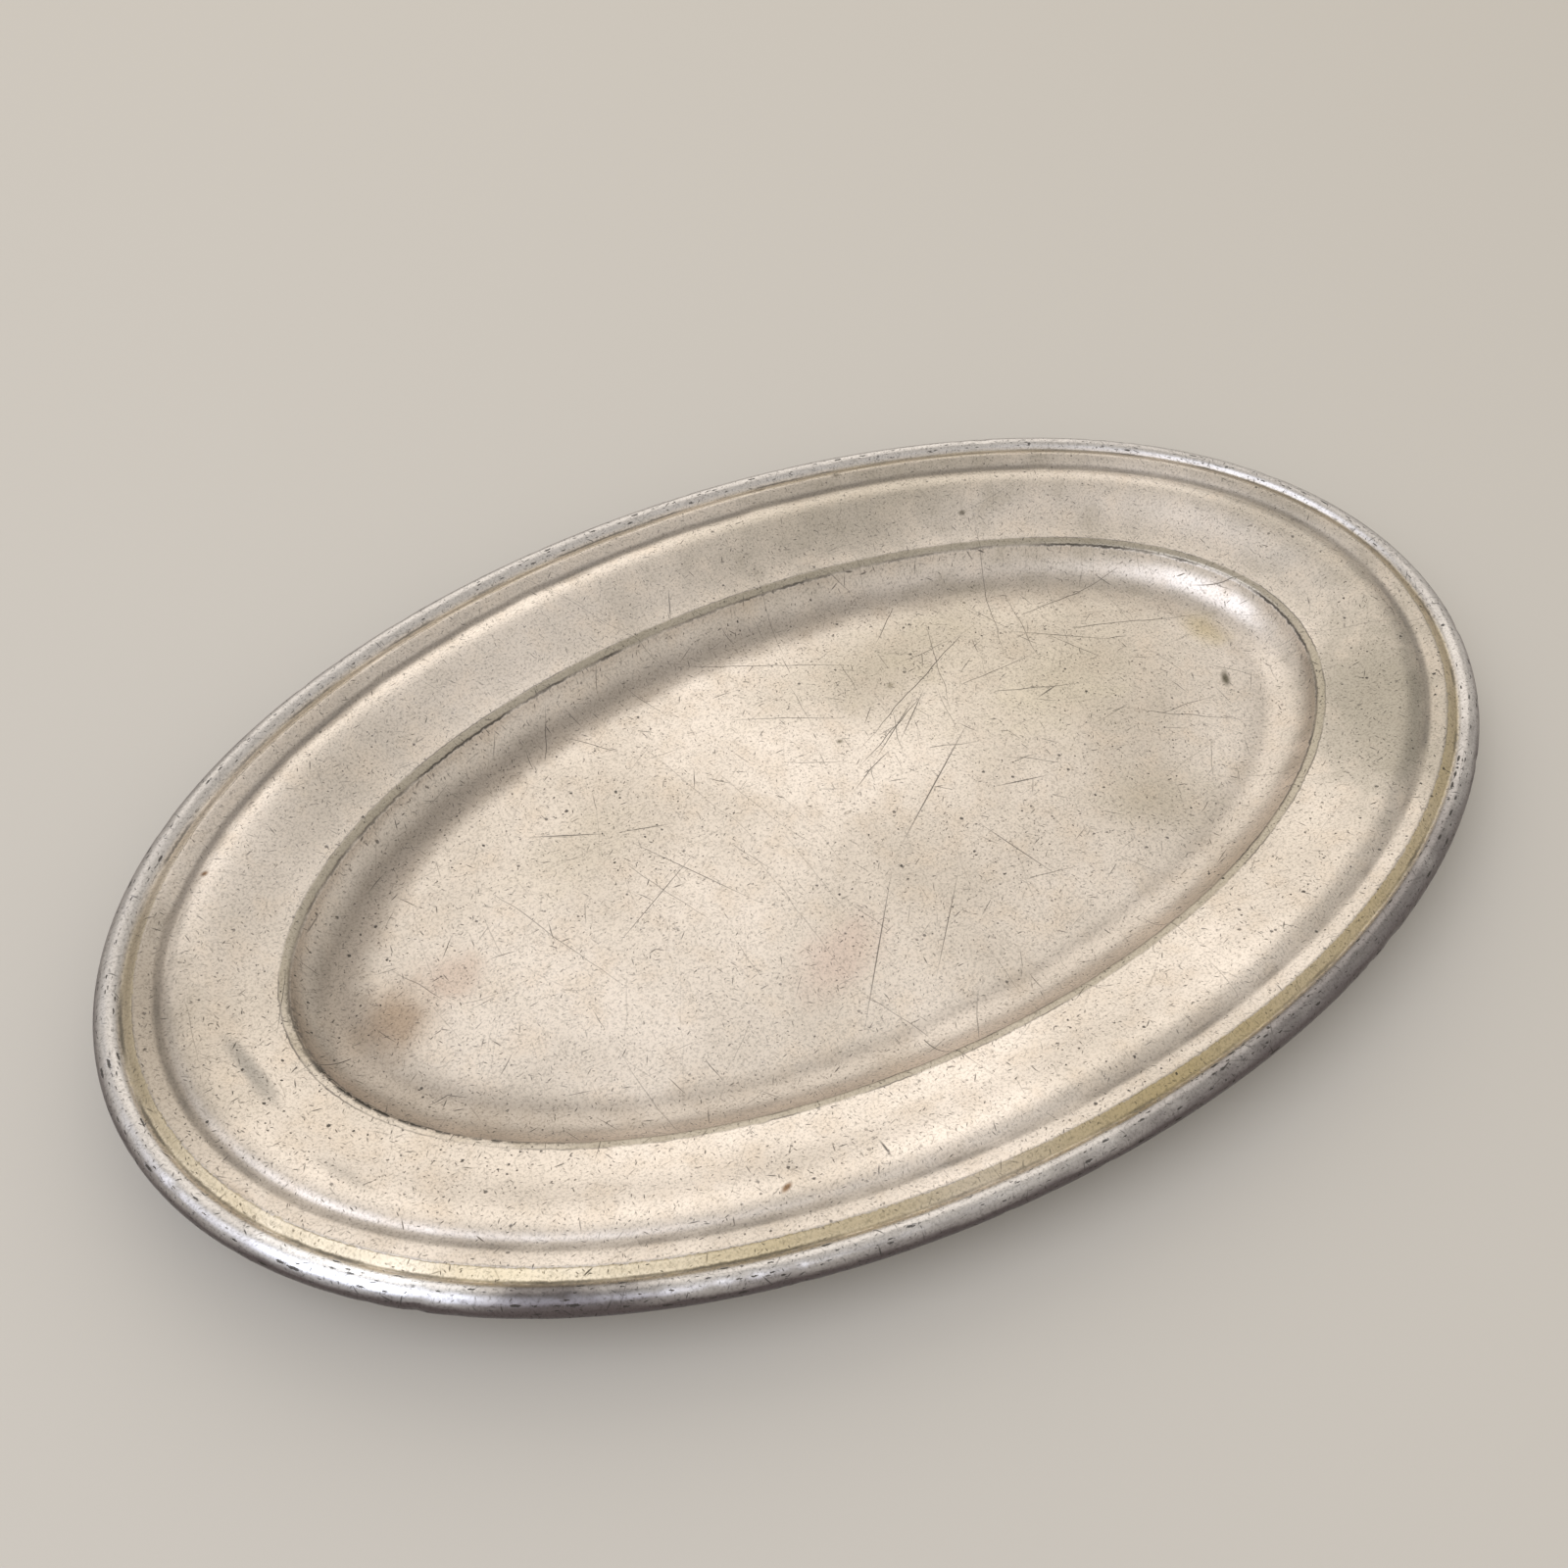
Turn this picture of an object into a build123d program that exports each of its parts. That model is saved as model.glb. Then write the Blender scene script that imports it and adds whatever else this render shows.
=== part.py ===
from build123d import *
from math import cos, radians, sin
import os

# Shallow oval serving dish, pressed from one sheet, with its edge rolled round a core wire.
# Millimetres. +X runs along the length, +Z up, and the origin is on the surface that the
# dish stands on, under the middle of the floor.

# Plan
dish_length = 300.0
dish_width = 187.8
rim_width = 32.3  # outside of the rolled edge to the well edge

# Stock
sheet = 1.2  # nickel silver, silver plated
wire_dia = 2.6
wire_clearance = 0.05  # all round, between the core wire and the roll

# Well
well_depth = 7.0  # well edge down to the floor
well_run = 10.0  # width of the curved wall, from the floor to the well edge
edge_land = 1.6  # narrow bevel worn along the well edge
edge_land_rise = 0.6

# Rim, with heights taken from the middle of the rolled edge
rim_rise = 5.8  # well edge up to the middle of the rolled edge
ridge_height = 0.6
groove_height = 0.2
crest_height = 2.2
ridge_to_groove = 2.4
band_width = 4.3  # groove to crest
cove_width = 2.0  # crest to the side of the rolled edge
marly_start = 9.0  # slope beside the well edge, degrees
marly_sweep = 8.0  # reach of the gentle slope beside the well edge
ridge_sweep = 4.6  # reach of the rounding below the ridge
band_start = 36.0  # slope of the band at the groove, degrees

# Roll
roll_end = 203.0  # where the rolled edge stops under the rim, degrees round from the outside
roll_gap = 0.6  # slot between the end of the roll and the underside of the rim

os.makedirs("parts", exist_ok=True)

# The well edge is an ellipse, and the rest of the rim keeps its distance from it.
well_x = dish_length / 2 - rim_width
well_y = dish_width / 2 - rim_width

# Section through the rim at its +X end. Across is the distance outside the well edge, and up
# is the height above the surface that the dish stands on.
section_plane = Plane(origin=(well_x, 0, 0), x_dir=(1, 0, 0), z_dir=(0, -1, 0))
floor_lap = 2.5  # flat strip inside the wall, which the floor joins
edge_z = sheet + well_depth
roll_z = edge_z + rim_rise
roll_inside = wire_dia / 2 + wire_clearance
roll_outside = roll_inside + sheet
roll_x = rim_width - roll_outside

crest = Vector(roll_x - roll_outside - cove_width, roll_z + crest_height)
groove = Vector(crest.X - band_width, roll_z + groove_height)
ridge = Vector(groove.X - ridge_to_groove, roll_z + ridge_height)
land = Vector(edge_land, edge_z + edge_land_rise)
marly_slope = Vector(cos(radians(marly_start)), sin(radians(marly_start)))
band_slope = Vector(cos(radians(band_start)), sin(radians(band_start)))

with BuildLine() as well_edge:
    EllipticalCenterArc((0, 0), well_x, well_y, start_angle=0, arc_size=360)

with BuildPart() as dish_body:
    with BuildSketch(section_plane):
        with BuildLine():
            Line((-well_run - floor_lap, sheet), (-well_run, sheet))
            TangentArc((-well_run, sheet), (0, edge_z), tangent=(1, 0))
            Line((0, edge_z), land)
            Bezier(land, land + marly_slope * marly_sweep, ridge - Vector(ridge_sweep, 0), ridge)
            TangentArc(ridge, groove, tangent=(1, 0))
            TangentArc(groove, crest, tangent=band_slope)
            Line(crest, (roll_x, roll_z))
            offset(amount=sheet, side=Side.RIGHT)
        make_face()
        with Locations((roll_x, roll_z)):
            Circle(roll_outside)
            Circle(roll_inside, mode=Mode.SUBTRACT)
            with PolarLocations(0, 1, start_angle=roll_end):
                Rectangle(2 * roll_outside, roll_gap, align=(Align.MIN, Align.MAX), mode=Mode.SUBTRACT)
    sweep(path=well_edge.wires()[0])
    with BuildSketch():
        Ellipse(well_x - well_run - floor_lap / 2, well_y - well_run - floor_lap / 2)
    extrude(amount=sheet)

with BuildPart() as rim_wire:
    with BuildSketch(section_plane):
        with Locations((roll_x, roll_z)):
            Circle(wire_dia / 2)
    sweep(path=well_edge.wires()[0])

dish_body.part.label = "dish_body"
export_step(dish_body.part, "parts/dish_body.step")

rim_wire.part.label = "rim_wire"
export_step(rim_wire.part, "parts/rim_wire.step")
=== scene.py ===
import math
from collections import namedtuple
from types import SimpleNamespace

import bpy
import numpy as np
from mathutils import Matrix, Vector, noise


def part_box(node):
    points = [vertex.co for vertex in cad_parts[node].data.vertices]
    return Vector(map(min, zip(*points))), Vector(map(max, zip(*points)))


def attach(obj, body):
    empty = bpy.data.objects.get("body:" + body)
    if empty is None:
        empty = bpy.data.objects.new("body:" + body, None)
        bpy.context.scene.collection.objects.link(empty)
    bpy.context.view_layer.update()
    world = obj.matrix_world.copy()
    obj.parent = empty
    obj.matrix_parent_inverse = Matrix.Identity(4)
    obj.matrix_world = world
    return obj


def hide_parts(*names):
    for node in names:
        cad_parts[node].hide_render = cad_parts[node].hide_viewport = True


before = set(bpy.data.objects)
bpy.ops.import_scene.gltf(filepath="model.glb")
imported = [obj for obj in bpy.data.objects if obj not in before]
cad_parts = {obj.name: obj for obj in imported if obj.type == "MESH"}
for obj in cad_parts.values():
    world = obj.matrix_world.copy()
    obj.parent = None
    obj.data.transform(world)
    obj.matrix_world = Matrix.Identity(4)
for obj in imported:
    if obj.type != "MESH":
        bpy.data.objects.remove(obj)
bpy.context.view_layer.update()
print("frame: loaded", sorted(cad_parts))

mm = 0.001


def linear(code):  # sRGB hex to the linear colour that shaders use
    parts = [int(code[i:i + 2], 16) / 255 for i in (1, 3, 5)]
    return tuple(c / 12.92 if c <= 0.04045 else ((c + 0.055) / 1.055) ** 2.4 for c in parts) + (1.0,)


def add(tree, kind, inputs=(), **settings):  # one node, its settings, and what feeds its inputs
    node = tree.nodes.new("ShaderNode" + kind)
    for name, value in settings.items():
        setattr(node, name, value)
    for key, value in inputs.items() if isinstance(inputs, dict) else enumerate(inputs):
        if isinstance(value, bpy.types.Node):  # a node stands for its first output in use
            value = next(o for o in value.outputs if o.enabled)
        if isinstance(value, bpy.types.NodeSocket):
            tree.links.new(value, node.inputs[key])
        elif value is not None:
            node.inputs[key].default_value = value
    return node


# the section through the rim, in millimetres, measured outwards from the well edge
dish = {
    "rimWidth": 32.3,  # well edge to the outside of the roll
    "sheet": 1.2,
    "rollRadius": 2.55,
    "rollTopDeg": 105,  # where the skin of the roll starts, round from the outside
    "rollEndDeg": 203,  # where the roll stops, under the rim
    "rollShutDeg": 183,  # where the inside of the roll comes back to the sheet
    "wellDepth": 7.0,
    "wellRun": 10.0,  # how far the wall of the well reaches in
    "landWidth": 1.6,  # the flat strip worn along the well edge
    "landRise": 0.6,
    "ridge": 0.6,  # heights above the middle of the roll
    "groove": 0.2,
    "crest": 2.2,
    "coveWidth": 2.0,  # crest to the skin of the roll
    "bandWidth": 4.3,  # groove to crest
    "ridgeToGroove": 2.4,
    "marlyStartDeg": 9,  # the slope of the broad rim, or marly, as it leaves the land
    "marlySweep": 8.0,
    "ridgeSweep": 4.6,
    "bandStartDeg": 32,
    "cornersAbove": (0.45, 0.5, 1.2, 0.35, 0.7),  # reach of the rounding, well edge to roll
    "cornersBelow": (1.4, 1.4, 1.3, 1.5),  # the lower side of a pressed sheet turns more gently
    "passesBelow": 3,
    "joinBelow": 0.02,  # how near the lower side comes to the skin of the roll
    "drawnPoints": (600, 120, 900, 160, 300, 160, 120),  # on each stretch, before it is thinned out
    "stepsAbove": (14, 5, 16, 6, 8, 5, 7),
    "stepsBelow": (9, 2, 9, 3, 4, 3),
    "stepsRound": 25,
    "stepsInside": 15,
    "segments": 832,  # round the oval, above
    "evenAt": 16,  # the steps round the oval are even on this line
    "measurePoints": 20001,  # for measuring the way round the oval
    "floorSpread": 60,  # how far the strip coordinate runs in from the wall to the middle
    "creaseDeg": 38,  # edges sharper than this stay crisp
}

low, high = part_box("dish_body")
wellX = high.x / mm - dish["rimWidth"]
wellY = high.y / mm - dish["rimWidth"]
floorTop = low.z / mm + dish["sheet"]
edgeHeight = floorTop + dish["wellDepth"]
roll = np.array([dish["rimWidth"] - dish["rollRadius"], high.z / mm - dish["rollRadius"]])
crest = roll + (-dish["rollRadius"] - dish["coveWidth"], dish["crest"])
groove = np.array([crest[0] - dish["bandWidth"], roll[1] + dish["groove"]])
ridge = np.array([groove[0] - dish["ridgeToGroove"], roll[1] + dish["ridge"]])
land = np.array([dish["landWidth"], edgeHeight + dish["landRise"]])
wellEdge = np.array([0.0, edgeHeight])
coveAngle = math.atan2(*(crest - roll)[::-1])
foot = roll + dish["rollRadius"] * np.array([math.cos(coveAngle), math.sin(coveAngle)])


def arc(start, end, slope, count):  # the arc that leaves start at this slope and reaches end
    dx, dz = end[0] - start[0], end[1] - start[1]
    bend = math.atan2(dz, dx) - slope
    radius = math.hypot(dx, dz) / (2 * math.sin(bend))
    turn = slope + 2 * bend * np.linspace(0, 1, count)
    return np.c_[start[0] + radius * (np.sin(turn) - math.sin(slope)),
                 start[1] - radius * (np.cos(turn) - math.cos(slope))]


def sweepLine(p, q, r, s, count):  # a cubic curve from p to s
    t = np.linspace(0, 1, count)[:, None]
    return (1 - t) ** 3 * p + 3 * t * (1 - t) ** 2 * q + 3 * t * t * (1 - t) * r + t ** 3 * s


def lengths(line):  # running length along a line of points
    return np.r_[0, np.cumsum(np.hypot(*np.diff(line, axis=0).T))]


def nearest(line, point):
    return np.argmin(((line - point) ** 2).sum(1))


def pointsAt(line, run, places):  # the points at these lengths along a line
    return np.c_[np.interp(places, run, line[:, 0]), np.interp(places, run, line[:, 1])]


def rounded(line, corner, radius):  # softens the corner at a point
    run = lengths(line)
    middle = run[nearest(line, corner)]
    a, b, c = pointsAt(line, run, middle + radius * np.array([-1, 0, 1]))
    near = np.abs(run - middle) < radius
    t = ((run[near] - middle) / radius + 1)[:, None] / 2
    soft = line.copy()
    soft[near] = (1 - t) ** 2 * a + 2 * t * (1 - t) * b + t * t * c
    return soft


def stepped(line, stops, counts):  # the line again, with a chosen number of steps between stops
    run = lengths(line)
    at = [run[nearest(line, s)] for s in stops]
    places = [np.linspace(a, b, n, endpoint=False) for a, b, n in zip(at, at[1:], counts)]
    return pointsAt(line, run, np.r_[np.concatenate(places), at[-1]])


def rollArc(radius, startDeg, endDeg, count):
    turn = np.radians(np.linspace(startDeg, endDeg, count))
    return roll + radius * np.c_[np.cos(turn), np.sin(turn)]


def sections():  # points across the rim: above, round the roll, inside the roll, and back below
    inWall, onLand, onMarly, inGroove, onBand, inCove, onRoll = dish["drawnPoints"]
    slope = math.radians(dish["marlyStartDeg"])
    leaving = land + dish["marlySweep"] * np.array([math.cos(slope), math.sin(slope)])
    arriving = ridge - (dish["ridgeSweep"], 0)
    fine = np.vstack([
        arc((-dish["wellRun"], floorTop), wellEdge, 0, inWall)[:-1],
        np.linspace(wellEdge, land, onLand)[:-1],
        sweepLine(land, leaving, arriving, ridge, onMarly)[:-1],
        arc(ridge, groove, 0, inGroove)[:-1],
        arc(groove, crest, math.radians(dish["bandStartDeg"]), onBand)[:-1],
        np.linspace(crest, foot, inCove),
    ])
    over = rollArc(dish["rollRadius"], math.degrees(coveAngle), dish["rollTopDeg"], onRoll)
    stops = [fine[0], wellEdge, land, ridge, groove, crest, foot]
    places = [nearest(fine, s) for s in stops] + [-1]
    corners = [wellEdge, land, groove, crest, foot]
    above = np.vstack([fine, over[1:]])
    for corner, radius in zip(corners, dish["cornersAbove"]):
        above = rounded(above, corner, radius)
    soft = fine
    for corner, radius in list(zip(corners, dish["cornersBelow"])) * dish["passesBelow"]:
        soft = rounded(soft, corner, radius)
    tangent = np.gradient(soft, axis=0)
    tangent /= np.hypot(*tangent.T)[:, None]
    under = soft + dish["sheet"] * np.c_[tangent[:, 1], -tangent[:, 0]]
    clear = np.hypot(*(under - roll).T) > dish["rollRadius"] + dish["joinBelow"]
    marks = [under[nearest(fine, s)] for s in stops[:-1]] + [under[clear][-1]]
    end = dish["rollEndDeg"] - 360
    skin = rollArc(dish["rollRadius"], dish["rollTopDeg"], end, dish["stepsRound"])[1:]
    inside = rollArc(dish["rollRadius"] - dish["sheet"], end, dish["rollShutDeg"], dish["stepsInside"])
    upper = stepped(above, above[places], dish["stepsAbove"])
    return upper, skin, inside, stepped(under, marks, dish["stepsBelow"])[::-1]


upper, outer, inner, lower = sections()
print("section: worked out, points", len(upper), len(outer), len(inner), len(lower))


def wellOval(turn, across):  # points at a distance outside the well edge
    edge = np.c_[wellX * np.cos(turn), wellY * np.sin(turn)]
    outward = np.c_[wellY * np.cos(turn), wellX * np.sin(turn)]
    outward /= np.hypot(*outward.T)[:, None]
    return edge + np.reshape(across, (-1, 1)) * outward


def evenTurns(count):  # angles round the oval with even steps, and the distance along to each
    turn = np.linspace(0, 2 * math.pi, dish["measurePoints"])
    run = lengths(wellOval(turn, dish["evenAt"]))
    along = np.arange(count + 1) / count * run[-1]
    return np.interp(along, run, turn), along


floorRings = [(0.05, 26), (0.13, 26), (0.21, 52), (0.29, 52), (0.36, 104), (0.43, 104), (0.5, 104),
              (0.56, 208), (0.62, 208), (0.68, 208), (0.73, 208), (0.78, 208), (0.83, 208), (0.87, 208),
              (0.905, 208), (0.935, 416), (0.96, 416), (0.982, 416)]  # share of the floor, and steps round it

Ring = namedtuple("Ring", "share across height steps unrolled place side")  # place is for the marks


def ringList():  # each ring of the skin, from the middle above, over the roll, to the middle below
    full = dish["segments"]
    start = -dish["wellRun"]
    inward = dish["floorSpread"]
    rings = [Ring(s, start, floorTop, n, start, start - inward * (1 - s), "top") for s, n in floorRings]
    line = np.vstack([upper, outer, inner, lower[:1]])
    unrolled = start + lengths(line)
    atFoot = nearest(line, foot)
    for k, (across, height) in enumerate(line[:-1]):
        side = "top" if k < len(upper) else "roll" if k < len(upper) + len(outer) else "hidden"
        steps = full // 2 if side == "hidden" else full
        place = across if k <= atFoot else line[atFoot, 0] + unrolled[k] - unrolled[atFoot]
        rings.append(Ring(1.0, across, height, steps, unrolled[k], place, side))
    back = start + lengths(lower[::-1])[::-1]
    for k, (across, height) in enumerate(lower):
        rings.append(Ring(1.0, across, height, full // 2, back[k], across, "under"))
    for s, n in floorRings[::-1]:
        steps = min(n, full // 2)
        rings.append(Ring(s, start, low.z / mm, steps, start, start - inward * (1 - s), "under"))
    return rings, unrolled[-1]


def stitch(a, b, na, nb):  # faces between two rings that start at vertices a and b
    faces = []
    if na == nb:
        for i in range(na):
            j = (i + 1) % na
            faces.append((a + i, b + i, b + j, a + j))
    elif nb == 2 * na:
        for i in range(na):
            j = (i + 1) % na
            faces += [(a + i, b + 2 * i, b + 2 * i + 1), (a + j, b + 2 * i + 1, b + 2 * j)]
            faces.append((a + i, b + 2 * i + 1, a + j))
    else:
        for i in range(nb):
            j = (i + 1) % nb
            faces += [(a + 2 * i, b + i, a + 2 * i + 1), (a + 2 * i + 1, b + j, a + 2 * j)]
            faces.append((a + 2 * i + 1, b + i, b + j))
    return faces


bends = {  # how an old dish is out of true; a wave is its size, seed and share
    "flex": 0.16,  # up and down, on the rim and on the floor
    "floorFlex": 0.11,
    "flexWaves": ((44, 3.1, 1.0), (17, 8.4, 0.5)),
    "wander": 0.12,  # how far the ridge and groove stray sideways
    "wanderWaves": ((30, 5.7, 1.0),),
    "ragged": 0.12,  # how ragged the land is, where it is, and how far to each side
    "raggedWaves": ((1.9, 2.2, 1.0), (6, 4.9, 0.7)),
    "raggedAt": 0.8,
    "raggedReach": 1.2,
    "floorEnds": (-9.5, -4),  # places across where a bend dies out or sets in
    "rimStarts": (1.5, 8),
    "rimEnds": (22, 26.5),
}


def sway(x, y, waves):  # smooth unevenness between about -1 and 1
    return sum(share * noise.noise(Vector((x / size + seed, y / size - seed, seed * 0.37)))
               for size, seed, share in waves)


def fade(value, start, end):  # 0 at start to 1 at end
    t = np.clip((value - start) / (end - start), 0, 1)
    return t * t * (3 - 2 * t)


def unevenRing(ring, turn):  # one ring of points, with the wear and bends of an old dish
    xy = wellOval(turn, ring.across)
    onTop = ring.side == "top"
    if ring.share < 1 or ring.side == "hidden":
        flex = bends["floorFlex"] * onTop
        lift = [flex * sway(*(ring.share * p), bends["flexWaves"]) for p in xy]
        return np.c_[ring.share * xy, ring.height + np.array(lift)]
    onRim = fade(ring.across, *bends["rimStarts"]) * (1 - fade(ring.across, *bends["rimEnds"]))
    onRim *= ring.side != "roll"
    flex = onRim * bends["flex"] + bends["floorFlex"] * (1 - fade(ring.across, *bends["floorEnds"])) * onTop
    wander = onRim * bends["wander"]
    fromLand = (ring.across - bends["raggedAt"]) / bends["raggedReach"]
    ragged = bends["ragged"] * math.exp(-fromLand ** 2) * onTop
    aside = [wander * sway(x, y, bends["wanderWaves"]) + ragged * sway(x, y, bends["raggedWaves"])
             for x, y in xy]
    lift = [flex * sway(x, y, bends["flexWaves"]) for x, y in xy]
    return np.c_[wellOval(turn, ring.across + np.array(aside)), ring.height + np.array(lift)]


knocks = {  # small dents in the rolled edge
    "count": 260,
    "radius": (0.8, 2.4),
    "depth": (0.03, 0.2),
    "fromDeg": -50,
    "toDeg": 100,
    "reachSteps": 6,  # steps along the roll to each side that a dent can touch
    "seed": 41,
}


def knockRoll(points, first, steps, turns):  # presses each dent into the outside of the roll
    rng = np.random.default_rng(knocks["seed"])
    ringCount = len(outer)
    skin = points[first:first + ringCount * steps].reshape(ringCount, steps, 3)
    roundRoll = np.arctan2(outer[:, 1] - roll[1], outer[:, 0] - roll[0])
    middle = np.c_[wellOval(turns, roll[0]), np.full(steps, roll[1])]
    outward = (skin - middle) / dish["rollRadius"]
    before = skin.copy()
    beside = np.arange(-knocks["reachSteps"], knocks["reachSteps"] + 1)
    for _ in range(knocks["count"]):
        column = rng.integers(steps)
        row = np.argmin(np.abs(roundRoll - math.radians(rng.uniform(knocks["fromDeg"], knocks["toDeg"]))))
        radius = rng.uniform(*knocks["radius"])
        depth = rng.uniform(*knocks["depth"]) * radius / knocks["radius"][1]
        near = (column + beside) % steps
        gap = np.linalg.norm(before[:, near] - before[row, column], axis=2) / radius
        dent = depth * np.clip(1 - gap ** 2, 0, 1) ** 2
        skin[:, near] -= dent[:, :, None] * outward[:, near]
    points[first:first + ringCount * steps] = skin.reshape(-1, 3)


def ringFaces(rings, starts, last):  # every face, and 0 or 1 for the upper or the lower skin
    sizes = [r.steps for r in rings]
    lastTop = max(k for k, r in enumerate(rings) if r.side == "hidden")
    faces = [(0, starts[0] + i, starts[0] + (i + 1) % sizes[0]) for i in range(sizes[0])]
    island = [0] * len(faces)
    for k in range(len(rings) - 1):
        made = stitch(starts[k], starts[k + 1], sizes[k], sizes[k + 1])
        faces += made
        island += [0 if k <= lastTop else 1] * len(made)
    closing = [(starts[-1] + i, last, starts[-1] + (i + 1) % sizes[-1]) for i in range(sizes[-1])]
    return faces + closing, island + [1] * len(closing), lastTop + 1


def buildDish():
    rings, seamUnrolled = ringList()
    turns, along = evenTurns(dish["segments"])
    points, strip, flat = [np.array([[0, 0, floorTop]])], [np.zeros((1, 3))], [np.zeros((1, 2))]
    starts = []
    count = 1
    for ring in rings:
        every = dish["segments"] // ring.steps
        turn = turns[:-1:every]
        starts.append(count)
        count += ring.steps
        points.append(unevenRing(ring, turn))
        below = 1.0 if ring.side == "under" else 0.0
        strip.append(np.c_[along[:-1:every], np.full(ring.steps, ring.place), np.full(ring.steps, below)])
        flat.append(ring.share * wellOval(turn, ring.unrolled))
    points = np.vstack(points + [np.array([[0, 0, low.z / mm]])])
    strip = np.vstack(strip + [np.array([[0, 0, 1]])])
    flat = np.vstack(flat + [np.zeros((1, 2))])
    knockRoll(points, starts[len(floorRings) + len(upper)], dish["segments"], turns[:-1])
    faces, island, seamRing = ringFaces(rings, starts, count)
    mesh = bpy.data.meshes.new("dishBody")
    mesh.from_pydata((points * mm).tolist(), [], faces)
    loopVertex = np.zeros(len(mesh.loops), int)
    mesh.loops.foreach_get("vertex_index", loopVertex)
    faceSize = np.zeros(len(mesh.polygons), int)
    mesh.polygons.foreach_get("loop_total", faceSize)
    writeStrip(mesh, strip[loopVertex], faceSize, along[-1])
    seamTurns = turns[:-1:dish["segments"] // rings[seamRing].steps]
    onSeam = (loopVertex >= starts[seamRing]) & (loopVertex < starts[seamRing] + len(seamTurns))
    seam = wellOval(seamTurns, seamUnrolled)[np.where(onSeam, loopVertex - starts[seamRing], 0)]
    writeUnrolled(mesh, flat[loopVertex], np.repeat(island, faceSize), onSeam, seam)
    mesh.shade_smooth()
    mesh.set_sharp_from_angle(angle=math.radians(dish["creaseDeg"]))
    return mesh


def writeStrip(mesh, place, faceSize, total):  # along and across the strip, and 1 on the underside
    loopFace = np.repeat(np.arange(len(faceSize)), faceSize)
    firstLoop = np.r_[0, np.cumsum(faceSize)[:-1]]
    span = np.maximum.reduceat(place[:, 0], firstLoop) - np.minimum.reduceat(place[:, 0], firstLoop)
    wraps = (span > total / 2)[loopFace] & (place[:, 0] < total / 2)
    place[wraps, 0] += total  # the last face round the oval doesn't run back to the start
    layer = mesh.attributes.new("strip", "FLOAT_VECTOR", "CORNER")
    layer.data.foreach_set("vector", place.astype(np.float32).ravel())


def writeUnrolled(mesh, spread, side, onSeam, seam):  # the two skins laid flat, one above the other
    margin, gap = 3, 4
    closes = onSeam & (side == 0)  # where the upper skin comes to the lower one, inside the roll
    spread[closes] = seam[closes]
    spread[side == 1, 0] *= -1
    for k in (0, 1):
        mine = spread[side == k]
        mine -= mine.min(0)
        mine[:, 1] += 0 if k == 0 else spread[side == 0][:, 1].max() + gap
        spread[side == k] = mine
    uv = mesh.uv_layers.new(name="OFBake")
    uv.data.foreach_set("uv", ((spread + margin) / (spread.max() + 2 * margin)).astype(np.float32).ravel())


dishMesh = buildDish()
dishBody = bpy.data.objects.new("dishBody", dishMesh)
bpy.context.scene.collection.objects.link(dishBody)
print("mesh: dish with", len(dishMesh.polygons), "faces")


# silver plate on pressed nickel silver: satin and creamy, hazed by years of cleaning
plate = {  # colours as sRGB hex; a place is across the rim, in millimetres from the well edge
    "silver": "#e8ded5",
    "dullSilver": "#c9bfb4",
    "warmSilver": "#ddcebd",
    "bareMetal": "#c9c4c1",  # the nickel silver that shows on the rolled edge
    "rollShade": "#696163",  # painted shade: the roll's outer and lower side darkened, standing for the dark reflection it catches
    # painted shade, darker again where the roll turns under
    "rollUnderShade": "#999089",
    "underside": "#a79e93",
    "tarnish": "#c2b18c",  # the yellow that polishing leaves beside the roll
    "grime": "#35312a",
    "landTone": "#9a9281",
    # painted shade in the foot of the well and about the groove and crest
    "shadeTone": "#8b8177",
    "roughness": 0.36,
    "edgeRoughness": 0.32,
    "dirtRoughness": 0.35,  # what dirt adds
    "dirtMetal": 0.55,  # dirt is less of a mirror
    "skinFrom": 27.4,  # beyond this place marks follow the roll
    "landPlaces": (0.2, 0.45, 1.75, 2.0),  # where its tone sets in, is full, starts to end, and ends
    "tarnishPlaces": (25.7, 25.9, 27.9, 28.4),
    "groovePlace": (21.4, 1.1, 0.5),  # middle, half width, strength of its dirt
    "belowShift": 80,  # the underside counts as floor, so that the rim's marks stay on top
    "belowOffset": (430, 290, 0),  # and has marks of its own
    "belowTone": 0.6,
    "chipSize": 1.6,  # of the chips along the tarnish
    "wobbleSize": 9,  # of the bends in the hairlines
    "streakScale": (0.1, 0.7, 0),  # streaks along the roll, to the millimetre
}

drift = {  # how far a noise pushes a mark, in millimetres; half of it is a steady shift
    "frayed": 0.6,
    "loose": 3.0,
    "jagged": 1.2,
    # the streaky edge of the painted shade on the roll
    "worn": 2.4,
    "needle": (1.6, 1.6, 0),
    "pit": (0.7, 0.7, 0),
    "rollPit": (0.45, 0.45, 0),
}

spans = {  # from one value to another, and the strength at each
    "haze": (0.34, 0.68, 0, 1),  # of the noises
    "warmth": (0.48, 0.72, 0, 0.5),
    "speckle": (0.47, 0.72, 0, 0.42),
    "patchyTarnish": (0.3, 0.62, 0.5, 1),
    "edgeFill": (0.42, 0.6, 0.3, 1),
    "grooveFill": (0.3, 0.65, 0.35, 1),
    "crumbs": (0.46, 0.52, 0, 1),
    "pitCrowd": (0.4, 0.6, 0.3, 1),
    "gloss": (0.3, 0.7, -0.06, 0.08),
    "rimNeedles": (0, 5, 1, 0.4),  # across the rim: it has fewer long ones than the floor
    "bareMetal": (27.2, 28.4, 0, 1),
    # painted shade on the roll's outer and lower side, and where it turns under
    "rollShade": (31.8, 34.2, 0, 1),
    "rollUnderShade": (35.6, 38.4, 0, 0.8),
    "farShade": (-60, 60, 0.85, 1.6),  # painted shade, growing from the near side to the far
    "farTarnish": (-60, 50, 1, 0.35),
    "rightTarnish": (50, 130, 1, 0.65),  # towards the right end
    "leftLand": (0, 1, 0.7, 0.1),  # under the crust at the left end
    "belowDirt": (0, 1, 1, 0.5),
}

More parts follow.
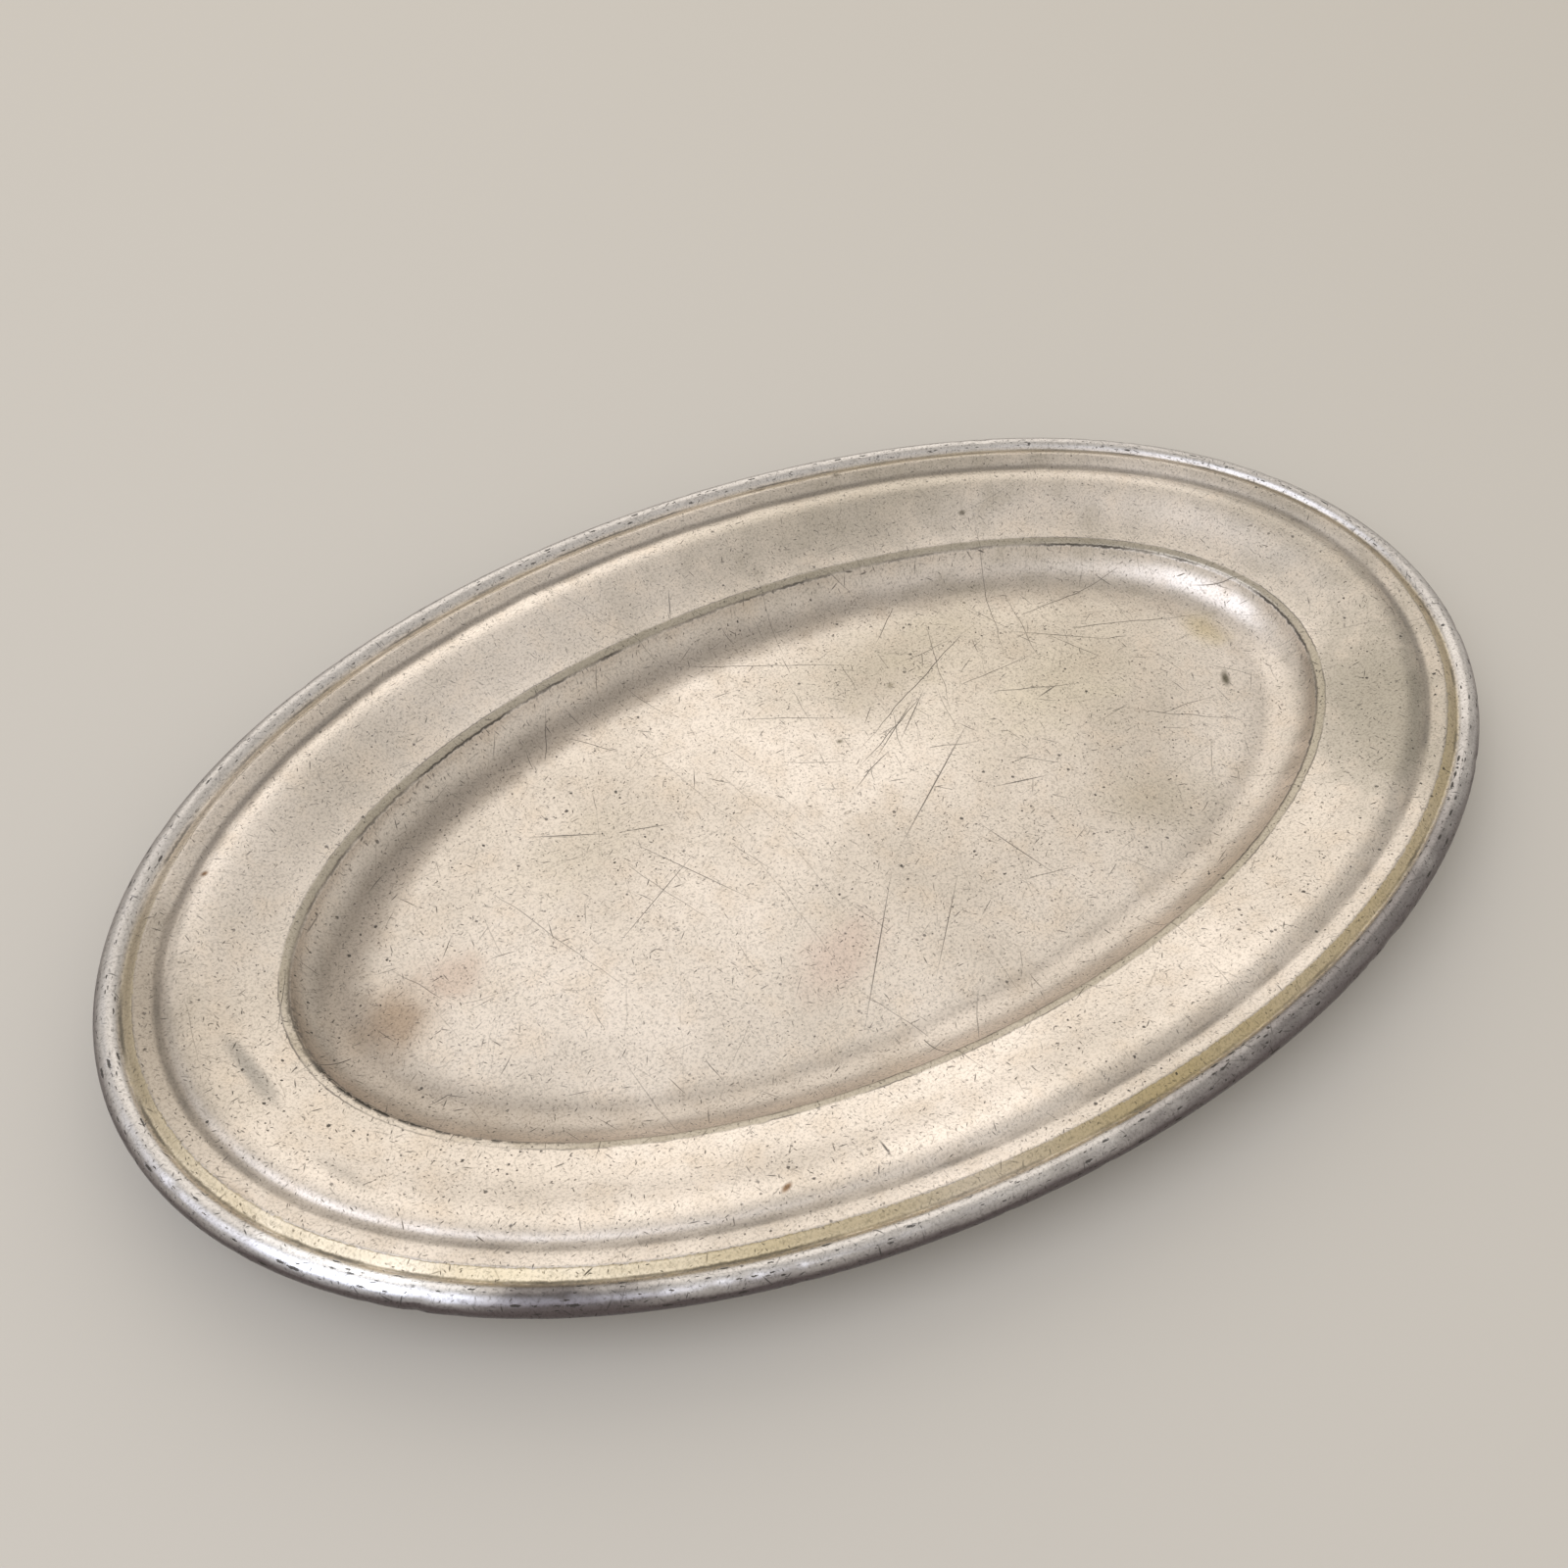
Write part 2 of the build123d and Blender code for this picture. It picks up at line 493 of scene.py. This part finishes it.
noises = {  # size in millimetres, detail and roughness of the noises that the marks share
    "clouds": (46, 3, 0.5),
    "mottle": (7, 4, 0.5),
    "patches": (14, 2, 0.5),
    "swell": (16, 2, 0.5),
    "crumbly": (1.3, 3, 0.65),
    "grain": (0.5, 3, 0.7),  # the real grain is finer, and is drawn as coarse as it needs to show
}

needles = [  # size of cell, half length, half width, share of cells, depth, all in millimetres
    (0.95, 0.38, 0.12, 0.5, 0.006),
    (1.9, 0.62, 0.14, 0.45, 0.010),
    (3.6, 1.2, 0.15, 0.45, 0.014),
    (7.0, 3.2, 0.12, 0.6, 0.010),
    (14.0, 9.0, 0.12, 0.75, 0.012),
    (26.0, 18.0, 0.13, 0.85, 0.012),
    (41.0, 30.0, 0.14, 0.9, 0.014),
]

longScratches = [  # from, to, half width
    ((40, 11), (2, -15), 0.2), ((2, -15), (-27, -49), 0.16), ((-63, 27), (-46, 19), 0.2),
    ((-46, 19), (-33, 15), 0.16), ((-46, 19), (-26, -14), 0.13), ((20, 11), (35, 23), 0.16),
    ((12, 9), (32, 22), 0.16), ((55, 7.5), (63, 9), 0.22), ((31, -9), (45, -12.5), 0.2),
    ((22, -13), (30, -37), 0.16), ((-38, -70.5), (-38.4, -75.5), 0.3), ((-6, 71), (-10, 62), 0.2),
    ((-8, -45), (14, -22), 0.12), ((-60, -8), (-30, 8), 0.12), ((60, 30), (86, 12), 0.12),
]

pits = [  # size of cell, share of cells with a pit, size of the largest, and whether on the roll
    (4.2, 0.3, 0.4, False),
    (1.7, 0.3, 0.24, False),
    (1.6, 0.5, 0.3, True),
    (0.8, 0.4, 0.16, True),
]

darkness = {"hairlines": 0.82, "scratches": 0.75, "pits": 0.85}

relief = {  # heights in millimetres
    "swell": 0.055,
    "mottle": 0.03,
    "grain": 0.014,
    "scratches": -0.02,
    "pits": -0.06,
    "grime": -0.05,
}

edgeLines = [  # place across the rim with the fraying added, half width, strength
    (0.25, 0.22, 0.85), (1.95, 0.2, 0.6), (25.5, 0.14, 0.4), (27.6, 0.45, 0.7),
]

shadePlaces = [  # painted shade: middle across, where it ends each side, where it is full, strength at each end
    (-7.5, 6.5, 1.5, 0.6, 0.2), (21.1, 1.7, 0.4, 0.42, 0.24), (24.2, 3.6, 1.5, 0.22, 0.1),
]

rollHighlightAndShade = [  # middle, half sizes, turn in degrees, colour and strength, on the rolled edge alone: first a painted highlight, then two patches of painted dark reflection
    ((-124, -52), (27, 22), -48, "#fbfbff", 0.95), ((62, -84), (100, 30), 14, "#565052", 0.72),
    ((-97, -71), (21, 9), -26, "#484245", 0.85),
]

crust = {  # thicker dirt on the well edge, round the left end
    "middle": (-106, -22),
    "half": (42, 46),
    "line": (-0.1, 0.95, 1.0),
}

stainsAndShade = [  # middle, half sizes, turn in degrees, colour, strength: stains, and broad patches of painted shade
    ((-101, -1), (12, 12), 20, "#8a6d4e", 0.62), ((-88, 2), (9, 8), 0, "#b5917c", 0.3),
    ((104, 7), (6, 9), 10, "#c9b67c", 0.45), ((97.5, -8.5), (3.6, 1.5), 58, "#5d5848", 0.9),
    # three narrow streaks that darken the rim along the left end
    ((-127, -5), (2.4, 12), 12, "#85827e", 0.65), ((-119, -33), (2.2, 9), 30, "#97918a", 0.4),
    ((-136, -30), (3, 9), 20, "#a08a72", 0.4),
    ((28, 27), (1.6, 1.1), 30, "#57513f", 0.75), ((9, 18), (1.2, 1.0), 0, "#5c5644", 0.75),
    # the grey patches with a half size of 19 mm or more are painted shade, whole regions darkened where the
    # plate reflects less light; the small dark spots are stains
    ((27, 30), (24, 14), 15, "#a3998a", 0.5), ((-20, -30), (16, 9), 25, "#c9a79a", 0.3),
    ((-56.4, -71.2), (1.8, 0.8), 20, "#7a5b3c", 0.9), ((27, 86), (1.8, 0.8), 5, "#3f3a30", 0.8),
    ((46, 82), (1.7, 0.8), -10, "#3f3a30", 0.8), ((69, 60), (1.3, 1.0), 0, "#4b4538", 0.75),
    ((-122, 38), (1.2, 0.9), 0, "#7a5a3a", 0.9), ((60, -28), (20, 12), -20, "#b3a893", 0.35),
    ((-55, 18), (22, 12), 15, "#b4aa97", 0.3), ((62, 8), (26, 14), 5, "#d8cfba", 0.35),
    ((112, -38), (46, 24), 50, "#928c80", 0.8), ((134, 12), (22, 50), 0, "#a39c8f", 0.35),
    ((-142, 14), (19, 50), 0, "#9b9184", 0.7), ((48, 72), (70, 20), -6, "#a39a8b", 0.55),
    ((66, 20), (62, 38), 10, "#b3a998", 0.5), ((34, 38), (50, 14), 5, "#b0a796", 0.4),
]


def strongest(tree, masks):  # the largest of several masks at each point
    result = masks[0]
    for mask in masks[1:]:
        result = add(tree, "Math", [result, mask], operation="MAXIMUM")
    return result


def together(tree, *masks):  # masks multiplied, so that a mark shows only where all of them are
    result = masks[0]
    for mask in masks[1:]:
        result = add(tree, "Math", [result, mask], operation="MULTIPLY")
    return result


def layered(tree, tone, layers):  # lays each colour over the ones before it, through its mask
    for mask, colour in layers:
        tone = add(tree, "Mix", {0: mask, 6: tone, 7: linear(colour)}, data_type="RGBA")
    return tone


def gapFrom(tree, across, middle):  # how far a point is from a place across the rim
    away = add(tree, "Math", [across, middle], operation="SUBTRACT")
    return add(tree, "Math", [away], operation="ABSOLUTE")


def lineAt(tree, across, middle, width, strength):  # a soft line that follows the rim
    return add(tree, "MapRange", [gapFrom(tree, across, middle), width, 0.3 * width, 0, strength])


def placesMask(tree, across, start, fullFrom, fullTo, end):  # a band between places across the rim
    rising = add(tree, "MapRange", [across, start, fullFrom, 0, 1])
    falling = add(tree, "MapRange", [across, end, fullTo, 0, 1])
    return together(tree, rising, falling)


def spotMask(tree, at, middle, half, turnDeg, strength):  # a soft spot with an uneven edge
    local = add(tree, "Mapping", {
        "Vector": at.plan, "Location": (*middle, 0), "Rotation": (0, 0, math.radians(turnDeg)),
        "Scale": (*half, 1e4),
    }, vector_type="TEXTURE")
    reach = add(tree, "VectorMath", [local], operation="LENGTH").outputs["Value"]
    uneven = add(tree, "Math", [at.mottle, 0.9, reach], operation="MULTIPLY_ADD")  # adds about 0.45
    return add(tree, "MapRange", [uneven, 1.45, 0.6, 0, strength], interpolation_type="SMOOTHSTEP")


def surfacePlaces(tree):  # where a point is on the dish, and the noises that the marks share
    strip = add(tree, "Attribute", attribute_name="strip").outputs["Vector"]
    _, across, below = add(tree, "SeparateXYZ", [strip]).outputs
    across = add(tree, "Math", [below, -plate["belowShift"], across], operation="MULTIPLY_ADD")
    coords = add(tree, "TexCoord").outputs["Object"]
    solid = add(tree, "VectorMath", [coords, (1 / mm, 1 / mm, 1 / mm)], operation="MULTIPLY")
    plan = add(tree, "VectorMath", [solid, (1, 1, 0)], operation="MULTIPLY")
    apart = add(tree, "CombineXYZ", [below, below])
    plan = add(tree, "VectorMath", [apart, plate["belowOffset"], plan], operation="MULTIPLY_ADD")
    sideways, lengthwise, _ = add(tree, "SeparateXYZ", [plan]).outputs
    onSkin = add(tree, "MapRange", [across, plate["skinFrom"] - 0.01, plate["skinFrom"], 0, 1])
    place = add(tree, "Mix", {0: onSkin, 4: plan, 5: strip}, data_type="VECTOR")
    place = add(tree, "VectorMath", [place, (1, 1, 0)], operation="MULTIPLY")
    onRoll = add(tree, "MapRange", [across, *spans["bareMetal"]])
    shared = {name: add(tree, "TexNoise", {"Vector": solid, "Scale": 1 / size, "Detail": detail,
                                           "Roughness": rough})
              for name, (size, detail, rough) in noises.items()}
    frayed = add(tree, "Math", [shared["crumbly"], drift["frayed"], across], operation="MULTIPLY_ADD")
    return SimpleNamespace(strip=strip, across=across, below=below, plan=plan, sideways=sideways,
                           lengthwise=lengthwise, place=place, onRoll=onRoll, frayed=frayed, **shared)


def shadeBands(tree, at):  # painted shade: broad darker bands at the foot of the well's wall and about the groove and crest, stronger on the far side
    loose = add(tree, "Math", [at.patches, drift["loose"], at.across], operation="MULTIPLY_ADD")
    farSide = add(tree, "MapRange", [at.lengthwise, *spans["farShade"]])
    bands = []
    for middle, reach, full, atLeft, atRight in shadePlaces:
        strength = add(tree, "MapRange", [at.sideways, -110, 110, atLeft, atRight])
        away = gapFrom(tree, loose, middle + drift["loose"] / 2)
        band = add(tree, "MapRange", [away, reach, full, 0, 1], interpolation_type="SMOOTHSTEP")
        bands.append(together(tree, band, strength, farSide))
    return strongest(tree, bands)


def tarnishBand(tree, at):  # yellow film in the cove, chipped at its edges, thinner on the far side
    chip = add(tree, "TexNoise", {"Vector": at.place, "Scale": 1 / plate["chipSize"], "Detail": 4,
                                  "Roughness": 0.7})
    jagged = add(tree, "Math", [chip, drift["jagged"], at.across], operation="MULTIPLY_ADD")
    film = placesMask(tree, jagged, *plate["tarnishPlaces"])
    patchy = add(tree, "MapRange", [at.clouds, *spans["patchyTarnish"]])
    nearSide = add(tree, "MapRange", [at.lengthwise, *spans["farTarnish"]])
    leftSide = add(tree, "MapRange", [at.sideways, *spans["rightTarnish"]])
    return together(tree, film, patchy, nearSide, leftSide)


def wornLand(tree, at, leftEnd):  # the land's duller tone, fainter at the left end
    strip = placesMask(tree, at.frayed, *plate["landPlaces"])
    return together(tree, strip, add(tree, "MapRange", [leftEnd, *spans["leftLand"]]))


def toneLayers(tree, at, leftEnd):  # masks and colours, from the plate itself out to the dirt on it; painted shade and a painted highlight are among them
    streaked = add(tree, "VectorMath", [at.strip, plate["streakScale"]], operation="MULTIPLY")
    streaks = add(tree, "TexNoise", {"Vector": streaked, "Scale": 1, "Detail": 3})
    # a streaky line round the roll, where the painted shade on its side begins
    worn = add(tree, "Math", [streaks, drift["worn"], at.across], operation="MULTIPLY_ADD")
    layers = [
        (add(tree, "MapRange", [at.clouds, *spans["haze"]]), plate["dullSilver"]),
        (add(tree, "MapRange", [at.mottle, *spans["warmth"]]), plate["warmSilver"]),
    ]
    # stains, and broad patches of painted shade
    for middle, half, turnDeg, colour, strength in stainsAndShade:
        layers.append((spotMask(tree, at, middle, half, turnDeg, strength), colour))
    layers.append((at.onRoll, plate["bareMetal"]))
    # a painted highlight and painted dark reflections on the rolled edge
    for middle, half, turnDeg, colour, strength in rollHighlightAndShade:
        stretch = spotMask(tree, at, middle, half, turnDeg, strength)
        layers.append((together(tree, stretch, at.onRoll), colour))
    return layers + [
        # painted shade on the roll's outer and lower side, and where it turns under
        (add(tree, "MapRange", [worn, *spans["rollShade"]]), plate["rollShade"]),
        (add(tree, "MapRange", [at.across, *spans["rollUnderShade"]]), plate["rollUnderShade"]),
        (together(tree, at.below, plate["belowTone"]), plate["underside"]),
        # painted shade in the well's foot and about the groove and crest
        (shadeBands(tree, at), plate["shadeTone"]),
        (tarnishBand(tree, at), plate["tarnish"]),
        (wornLand(tree, at, leftEnd), plate["landTone"]),
        (add(tree, "MapRange", [at.grain, *spans["speckle"]]), plate["grime"]),  # fine speckle
    ]


def needleMarks(tree, at):  # hairline scratches at every angle, and how deep they are
    inside = add(tree, "MapRange", [at.across, *spans["rimNeedles"]])
    wobble = add(tree, "TexNoise", {"Vector": at.place, "Scale": 1 / plate["wobbleSize"], "Detail": 1})
    bent = add(tree, "VectorMath", [wobble.outputs[1], drift["needle"], at.place], operation="MULTIPLY_ADD")
    seen, depth = [], []
    for cell, half, width, share, deep in needles:
        cells = add(tree, "TexVoronoi", {"Vector": bent, "Scale": 1 / cell}, voronoi_dimensions="2D")
        chance = add(tree, "SeparateColor", [cells.outputs["Color"]])
        local = add(tree, "VectorMath", [bent, cells.outputs["Position"]], operation="SUBTRACT")
        turn = together(tree, chance.outputs[0], math.pi)
        turned = add(tree, "VectorRotate", {"Vector": local, "Angle": turn}, rotation_type="Z_AXIS")
        narrow = add(tree, "VectorMath", [turned, (1 / half, 1 / width, 0)], operation="MULTIPLY")
        reach = add(tree, "VectorMath", [narrow], operation="LENGTH").outputs["Value"]
        line = add(tree, "MapRange", [reach, 1.0, 0.4, 0, 1])
        kept = add(tree, "Math", [chance.outputs[1], share], operation="LESS_THAN")
        faint = add(tree, "Math", [chance.outputs[2], 2.2], operation="POWER")
        faint = add(tree, "MapRange", [faint, 0, 1, 0.16, 1])
        fewer = [inside] if half > 3 else []
        seen.append(together(tree, line, kept, faint, *fewer))
        depth.append(together(tree, seen[-1], deep))
    return strongest(tree, seen), strongest(tree, depth)


def longMarks(tree, plan):  # the scratches that catch the eye, each listed with its place
    seen = []
    for start, end, width in longScratches:
        run = Vector(end) - Vector(start)
        middle = (Vector(start) + Vector(end)) / 2
        local = add(tree, "Mapping", {
            "Vector": plan, "Location": (*middle, 0), "Rotation": (0, 0, math.atan2(run.y, run.x)),
            "Scale": (run.length / 2, width, 1e4),
        }, vector_type="TEXTURE")
        reach = add(tree, "VectorMath", [local], operation="LENGTH").outputs["Value"]
        seen.append(add(tree, "MapRange", [reach, 1.0, 0.3, 0, 1]))
    return strongest(tree, seen)


def pitMarks(tree, at):  # corrosion pits, one at most to each cell, and drawn out along the roll
    grainy = at.grain.outputs[1]
    spread = add(tree, "VectorMath", [grainy, drift["pit"], at.place], operation="MULTIPLY_ADD")
    drawn = add(tree, "VectorMath", [at.strip, (0.3, 1, 0)], operation="MULTIPLY")
    drawn = add(tree, "VectorMath", [grainy, drift["rollPit"], drawn], operation="MULTIPLY_ADD")
    crowd = add(tree, "MapRange", [at.clouds, *spans["pitCrowd"]])
    seen = []
    for cell, share, size, rolled in pits:
        cells = add(tree, "TexVoronoi", {"Vector": drawn if rolled else spread, "Scale": 1 / cell},
                    voronoi_dimensions="2D")
        chance = add(tree, "SeparateColor", [cells.outputs["Color"]])
        wide = add(tree, "MapRange", [chance.outputs[1], 1 - share, 1, 0, size / cell])
        inside = add(tree, "Math", [wide, cells.outputs["Distance"]], operation="SUBTRACT")
        pit = add(tree, "MapRange", [inside, 0, 0.3 * size / cell, 0, 1])
        seen.append(together(tree, pit, at.onRoll if rolled else crowd))
    return strongest(tree, seen)


def edgeDirt(tree, at, leftEnd):  # lines of dirt along the edges, and the crust on the well edge
    fill = add(tree, "MapRange", [at.patches, *spans["edgeFill"]])
    edges = [lineAt(tree, at.frayed, *line) for line in edgeLines]
    crumbs = add(tree, "MapRange", [at.crumbly, *spans["crumbs"]])
    thick = together(tree, lineAt(tree, at.across, *crust["line"]), crumbs, leftEnd)
    return strongest(tree, [together(tree, strongest(tree, edges), fill), thick])


def makeSilverPlate():
    material = bpy.data.materials.new("satinSilverPlate")
    material.use_nodes = True
    tree = material.node_tree
    tree.nodes.clear()
    at = surfacePlaces(tree)
    leftEnd = spotMask(tree, at, crust["middle"], crust["half"], 0, 1.0)

    # dirt in every low place
    grime = edgeDirt(tree, at, leftEnd)
    hairlines, hairDepth = needleMarks(tree, at)
    scratches = longMarks(tree, at.plan)
    pitted = pitMarks(tree, at)
    uneven = add(tree, "MapRange", [at.patches, *spans["grooveFill"]])
    grooveDirt = together(tree, lineAt(tree, at.across, *plate["groovePlace"]), uneven)
    dark = strongest(tree, [
        together(tree, hairlines, darkness["hairlines"]),
        together(tree, scratches, darkness["scratches"]),
        grime,
        grooveDirt,
        together(tree, pitted, darkness["pits"]),
    ])
    dark = together(tree, dark, add(tree, "MapRange", [at.below, *spans["belowDirt"]]))
    layers = toneLayers(tree, at, leftEnd) + [(dark, plate["grime"])]
    tone = layered(tree, linear(plate["silver"]), layers)

    # gloss and relief
    gloss = add(tree, "Mix", {0: at.onRoll, 2: plate["roughness"], 3: plate["edgeRoughness"]},
                data_type="FLOAT")
    hazy = add(tree, "MapRange", [at.mottle, *spans["gloss"]])
    gloss = add(tree, "Math", [gloss, hazy], operation="ADD")
    gloss = add(tree, "Math", [dark, plate["dirtRoughness"], gloss], operation="MULTIPLY_ADD")
    metal = add(tree, "MapRange", [dark, 0.3, 1, 1, plate["dirtMetal"]])
    height = together(tree, at.swell, relief["swell"])
    for layer, lift in (
        (at.mottle, relief["mottle"]), (at.grain, relief["grain"]), (hairDepth, -1.0),
        (scratches, relief["scratches"]), (pitted, relief["pits"]), (grime, relief["grime"]),
    ):
        height = add(tree, "Math", [layer, lift, height], operation="MULTIPLY_ADD")
    normal = add(tree, "Bump", {"Height": height, "Distance": mm, "Strength": 1.0})
    shader = add(tree, "BsdfPrincipled", {"Base Color": tone, "Metallic": metal, "Roughness": gloss,
                                          "Normal": normal})
    add(tree, "OutputMaterial", [shader])
    return material


dishMesh.materials.append(makeSilverPlate())
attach(dishBody, "root")
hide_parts("dish_body")
print("plate: silver plate material made")


# drawn steel wire inside the roll: streaked along its length, dull grey
wire = {
    "steel": "#8b8782",
    "streak": "#5e5a55",
    "roughness": 0.42,
    "streakWidth": 0.35,  # in millimetres
    "streakDepth": 0.01,
    "streaksAlong": 60,  # to the metre
}


def makeWire():
    material = bpy.data.materials.new("drawnSteelWire")
    material.use_nodes = True
    tree = material.node_tree
    tree.nodes.clear()
    coords = add(tree, "TexCoord").outputs["Object"]
    scale = (wire["streaksAlong"], wire["streaksAlong"], 1000 / wire["streakWidth"])
    lines = add(tree, "Mapping", {"Vector": coords, "Scale": scale})
    streaks = add(tree, "TexNoise", {"Vector": lines, "Scale": 1, "Detail": 2})
    tone = layered(tree, linear(wire["steel"]), [(streaks, wire["streak"])])
    gloss = add(tree, "MapRange", [streaks, 0.3, 0.7, wire["roughness"] - 0.06, wire["roughness"] + 0.08])
    relief = add(tree, "Bump", {"Height": streaks, "Distance": wire["streakDepth"] * mm, "Strength": 1.0})
    shader = add(tree, "BsdfPrincipled", {"Base Color": tone, "Metallic": 1.0, "Roughness": gloss,
                                          "Normal": relief})
    add(tree, "OutputMaterial", [shader])
    return material


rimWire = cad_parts["rim_wire"]
rimWire.data.materials.clear()
rimWire.data.materials.append(makeWire())
print("wire: drawn wire material made")


studio = {  # floor and lights, in metres and watts
    "floor": "#c1bbb2",
    "floorRoughness": 0.75,
    "floorHalf": 4,
    "floorGap": 0.00005,  # just below the dish
    "air": "#f6f2ea",  # soft light from all round
    "airStrength": 0.84,
    "windowTone": "#e2ebff",
    "windowWatts": 8,
    "windowSize": (1.3, 1.1),
    "windowPlace": (-0.66, -0.16, 1.1),
    "ceilingTone": "#fffaf2",
    "ceilingWatts": 6.2,
    "ceilingSize": (1.7, 1.5),
    "ceilingPlace": (0.5, 1.37, 1.06),
}


def makeFloor():
    half = studio["floorHalf"]
    mesh = bpy.data.meshes.new("floor")
    mesh.from_pydata([(-half, -half, 0), (half, -half, 0), (half, half, 0), (-half, half, 0)], [],
                     [(0, 1, 2, 3)])
    floor = bpy.data.objects.new("floor", mesh)
    bpy.context.scene.collection.objects.link(floor)
    floor.location.z = -studio["floorGap"]
    material = bpy.data.materials.new("paintedFloor")
    material.use_nodes = True
    shader = material.node_tree.nodes["Principled BSDF"]
    shader.inputs["Base Color"].default_value = linear(studio["floor"])
    shader.inputs["Roughness"].default_value = studio["floorRoughness"]
    mesh.materials.append(material)
    return floor


def softbox(name):  # a large rectangular light that faces the dish
    data = bpy.data.lights.new(name, "AREA")
    data.shape = "RECTANGLE"
    data.size, data.size_y = studio[name + "Size"]
    data.color = linear(studio[name + "Tone"])[:3]
    data.energy = studio[name + "Watts"]
    place = Vector(studio[name + "Place"])
    lamp = bpy.data.objects.new(name, data)
    lamp.location = place
    lamp.rotation_euler = (-place).to_track_quat("-Z", "Y").to_euler()
    bpy.context.scene.collection.objects.link(lamp)


bpy.context.scene.view_settings.view_transform = "Standard"
makeFloor()
world = bpy.data.worlds.new("studioAir")
world.use_nodes = True
world.node_tree.nodes["Background"].inputs[0].default_value = linear(studio["air"])
world.node_tree.nodes["Background"].inputs[1].default_value = studio["airStrength"]
bpy.context.scene.world = world
softbox("window")
softbox("ceiling")

shot = {
    "aim": (-0.0135, 0.0043, roll[1] * mm),
    "distance": 0.2954,
    "azimuthDeg": -31.66,
    "elevationDeg": 50.36,
    "rollDeg": 2.217,
    "lens": 33.27,
    "sensor": 36,
    "nearClip": 0.01,
}


def makeCamera():
    az, el, tilt = [math.radians(shot[k]) for k in ("azimuthDeg", "elevationDeg", "rollDeg")]
    back = Vector((math.sin(az) * math.cos(el), -math.cos(az) * math.cos(el), math.sin(el)))
    right = Vector((math.cos(az), math.sin(az), 0))
    up = back.cross(right)
    side = math.cos(tilt) * right + math.sin(tilt) * up
    top = math.cos(tilt) * up - math.sin(tilt) * right
    data = bpy.data.cameras.new("camera")
    data.lens = shot["lens"]
    data.sensor_width = shot["sensor"]
    data.clip_start = shot["nearClip"]
    camera = bpy.data.objects.new("camera", data)
    bpy.context.scene.collection.objects.link(camera)
    turn = Matrix((side, top, back)).transposed().to_4x4()
    camera.matrix_world = Matrix.Translation(Vector(shot["aim"]) + back * shot["distance"]) @ turn
    bpy.context.scene.camera = camera


makeCamera()
print("studio: floor, lights and camera set")
